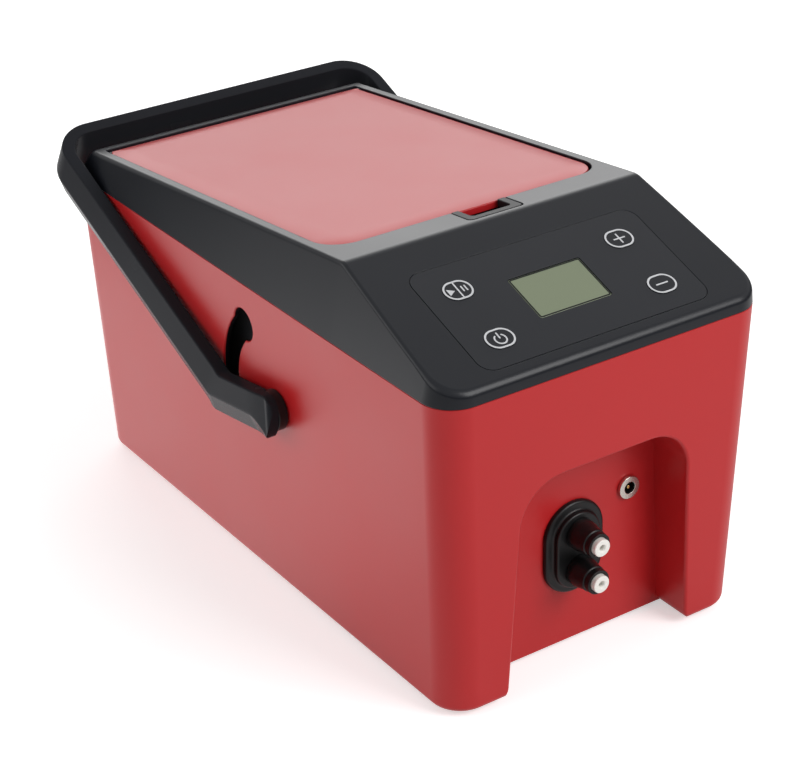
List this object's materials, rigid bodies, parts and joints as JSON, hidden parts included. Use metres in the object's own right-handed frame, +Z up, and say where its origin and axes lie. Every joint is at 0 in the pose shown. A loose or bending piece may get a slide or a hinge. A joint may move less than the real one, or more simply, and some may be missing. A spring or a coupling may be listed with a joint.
{
  "type": "hot and cold therapy machine",
  "caption": "Portable hot and cold therapy machine with a lidded water tank, a sloping control panel, a swing-up carry handle and hose couplings in a front recess",
  "frame": {"origin": "centre of the bounding box's bottom face, on the surface that the feet stand on", "axes": "+Z up, -Y toward the front with the couplings, +X to the right seen from the front"},
  "size_m": [0.221, 0.3896, 0.2226],
  "materials": {
    "red_shell": "satin",
    "red_lid": "satin",
    "black_shell": "satin",
    "black_trim": "satin",
    "handle_black": "satin",
    "black_fittings": "satin",
    "white_plastic": "matte",
    "tip_plastic": "gloss",
    "tank_plastic": "satin",
    "sleeve_foam": "matte",
    "black_rubber": "matte",
    "hose_rubber": "satin",
    "steel_parts": "satin",
    "jack_ring_metal": "gloss",
    "brass_pin": "satin",
    "panel_film": "matte",
    "display_pane": "gloss",
    "board_green": "matte",
    "key_plastic": "matte"
  },
  "bodies": {
    "body": {"lower_shell": "red_shell", "upper_housing": "black_shell", "latch_bezel": "black_trim", "reservoir_tank": "tank_plastic", "tank_sleeve": "sleeve_foam", "tank_strainer": "white_plastic", "water_pump": "black_fittings", "pump_cover": "black_fittings", "pump_motor": "steel_parts", "water_heater": "steel_parts", "pump_cradle": "black_fittings", "suction_hose": "hose_rubber", "outlet_hose": "hose_rubber", "supply_hose": "hose_rubber", "return_hose": "hose_rubber", "connector_plate": "black_fittings", "coupling_body_upper": "black_fittings", "coupling_body_lower": "black_fittings", "jack_ring": "jack_ring_metal", "jack_body": "black_fittings", "jack_pin": "brass_pin", "graphic_overlay": "panel_film", "display_window": "display_pane", "display_module": "steel_parts", "control_board": "board_green", "switch_power": "black_fittings", "switch_play_pause": "black_fittings", "switch_plus": "black_fittings", "switch_minus": "black_fittings", "lid_hinge_pin_left": "steel_parts", "lid_hinge_pin_right": "steel_parts", "lid_gasket": "black_rubber", "foot_front_left": "black_rubber", "foot_front_right": "black_rubber", "foot_rear_left": "black_rubber", "foot_rear_right": "black_rubber", "housing_screw_front_left": "steel_parts", "housing_screw_front_right": "steel_parts", "housing_screw_rear_left": "steel_parts", "housing_screw_rear_right": "steel_parts"},
    "lid": {"lid_panel": "red_lid", "lid_liner": "white_plastic"},
    "handle": {"carry_handle": "handle_black", "pivot_pin_left": "steel_parts", "pivot_pin_right": "steel_parts", "guide_pin_left": "black_fittings", "guide_pin_right": "black_fittings", "pivot_washer_left": "black_fittings", "pivot_washer_right": "black_fittings"},
    "impeller": {"pump_impeller": "white_plastic"},
    "tip_upper": {"coupling_tip_upper": "tip_plastic"},
    "tip_lower": {"coupling_tip_lower": "tip_plastic"},
    "power_key": {"key_power": "key_plastic"},
    "play_pause_key": {"key_play_pause": "key_plastic"},
    "plus_key": {"key_plus": "key_plastic"},
    "minus_key": {"key_minus": "key_plastic"}
  },
  "joints": [
    {"name": "lid_hinge", "type": "hinge", "parent": "body", "child": "lid", "pos_m": [0, 0.15583, 0.19182], "axis": [-1, 0, 0], "range_deg": [0, 95]},
    {"name": "handle_swing", "type": "hinge", "parent": "body", "child": "handle", "pos_m": [0, -0.04142, 0.1185], "axis": [1, 0, 0], "range_deg": [0, 66.4]},
    {"name": "impeller_spin", "type": "hinge", "parent": "body", "child": "impeller", "pos_m": [-0.04, -0.10542, 0.035], "axis": [0, 1, 0], "continuous": true},
    {"name": "tip_upper_slide", "type": "slide", "parent": "body", "child": "tip_upper", "axis": [0, 1, 0], "range_m": [0, 0.003], "stiffness_N_per_m": 800},
    {"name": "tip_lower_slide", "type": "slide", "parent": "body", "child": "tip_lower", "axis": [0, 1, 0], "range_m": [0, 0.003], "stiffness_N_per_m": 800},
    {"name": "power_press", "type": "slide", "parent": "body", "child": "power_key", "axis": [0, 0.3428, -0.9394], "range_m": [0, 0.0006], "stiffness_N_per_m": 2000},
    {"name": "play_pause_press", "type": "slide", "parent": "body", "child": "play_pause_key", "axis": [0, 0.3428, -0.9394], "range_m": [0, 0.0006], "stiffness_N_per_m": 2000},
    {"name": "plus_press", "type": "slide", "parent": "body", "child": "plus_key", "axis": [0, 0.3428, -0.9394], "range_m": [0, 0.0006], "stiffness_N_per_m": 2000},
    {"name": "minus_press", "type": "slide", "parent": "body", "child": "minus_key", "axis": [0, 0.3428, -0.9394], "range_m": [0, 0.0006], "stiffness_N_per_m": 2000}
  ]
}
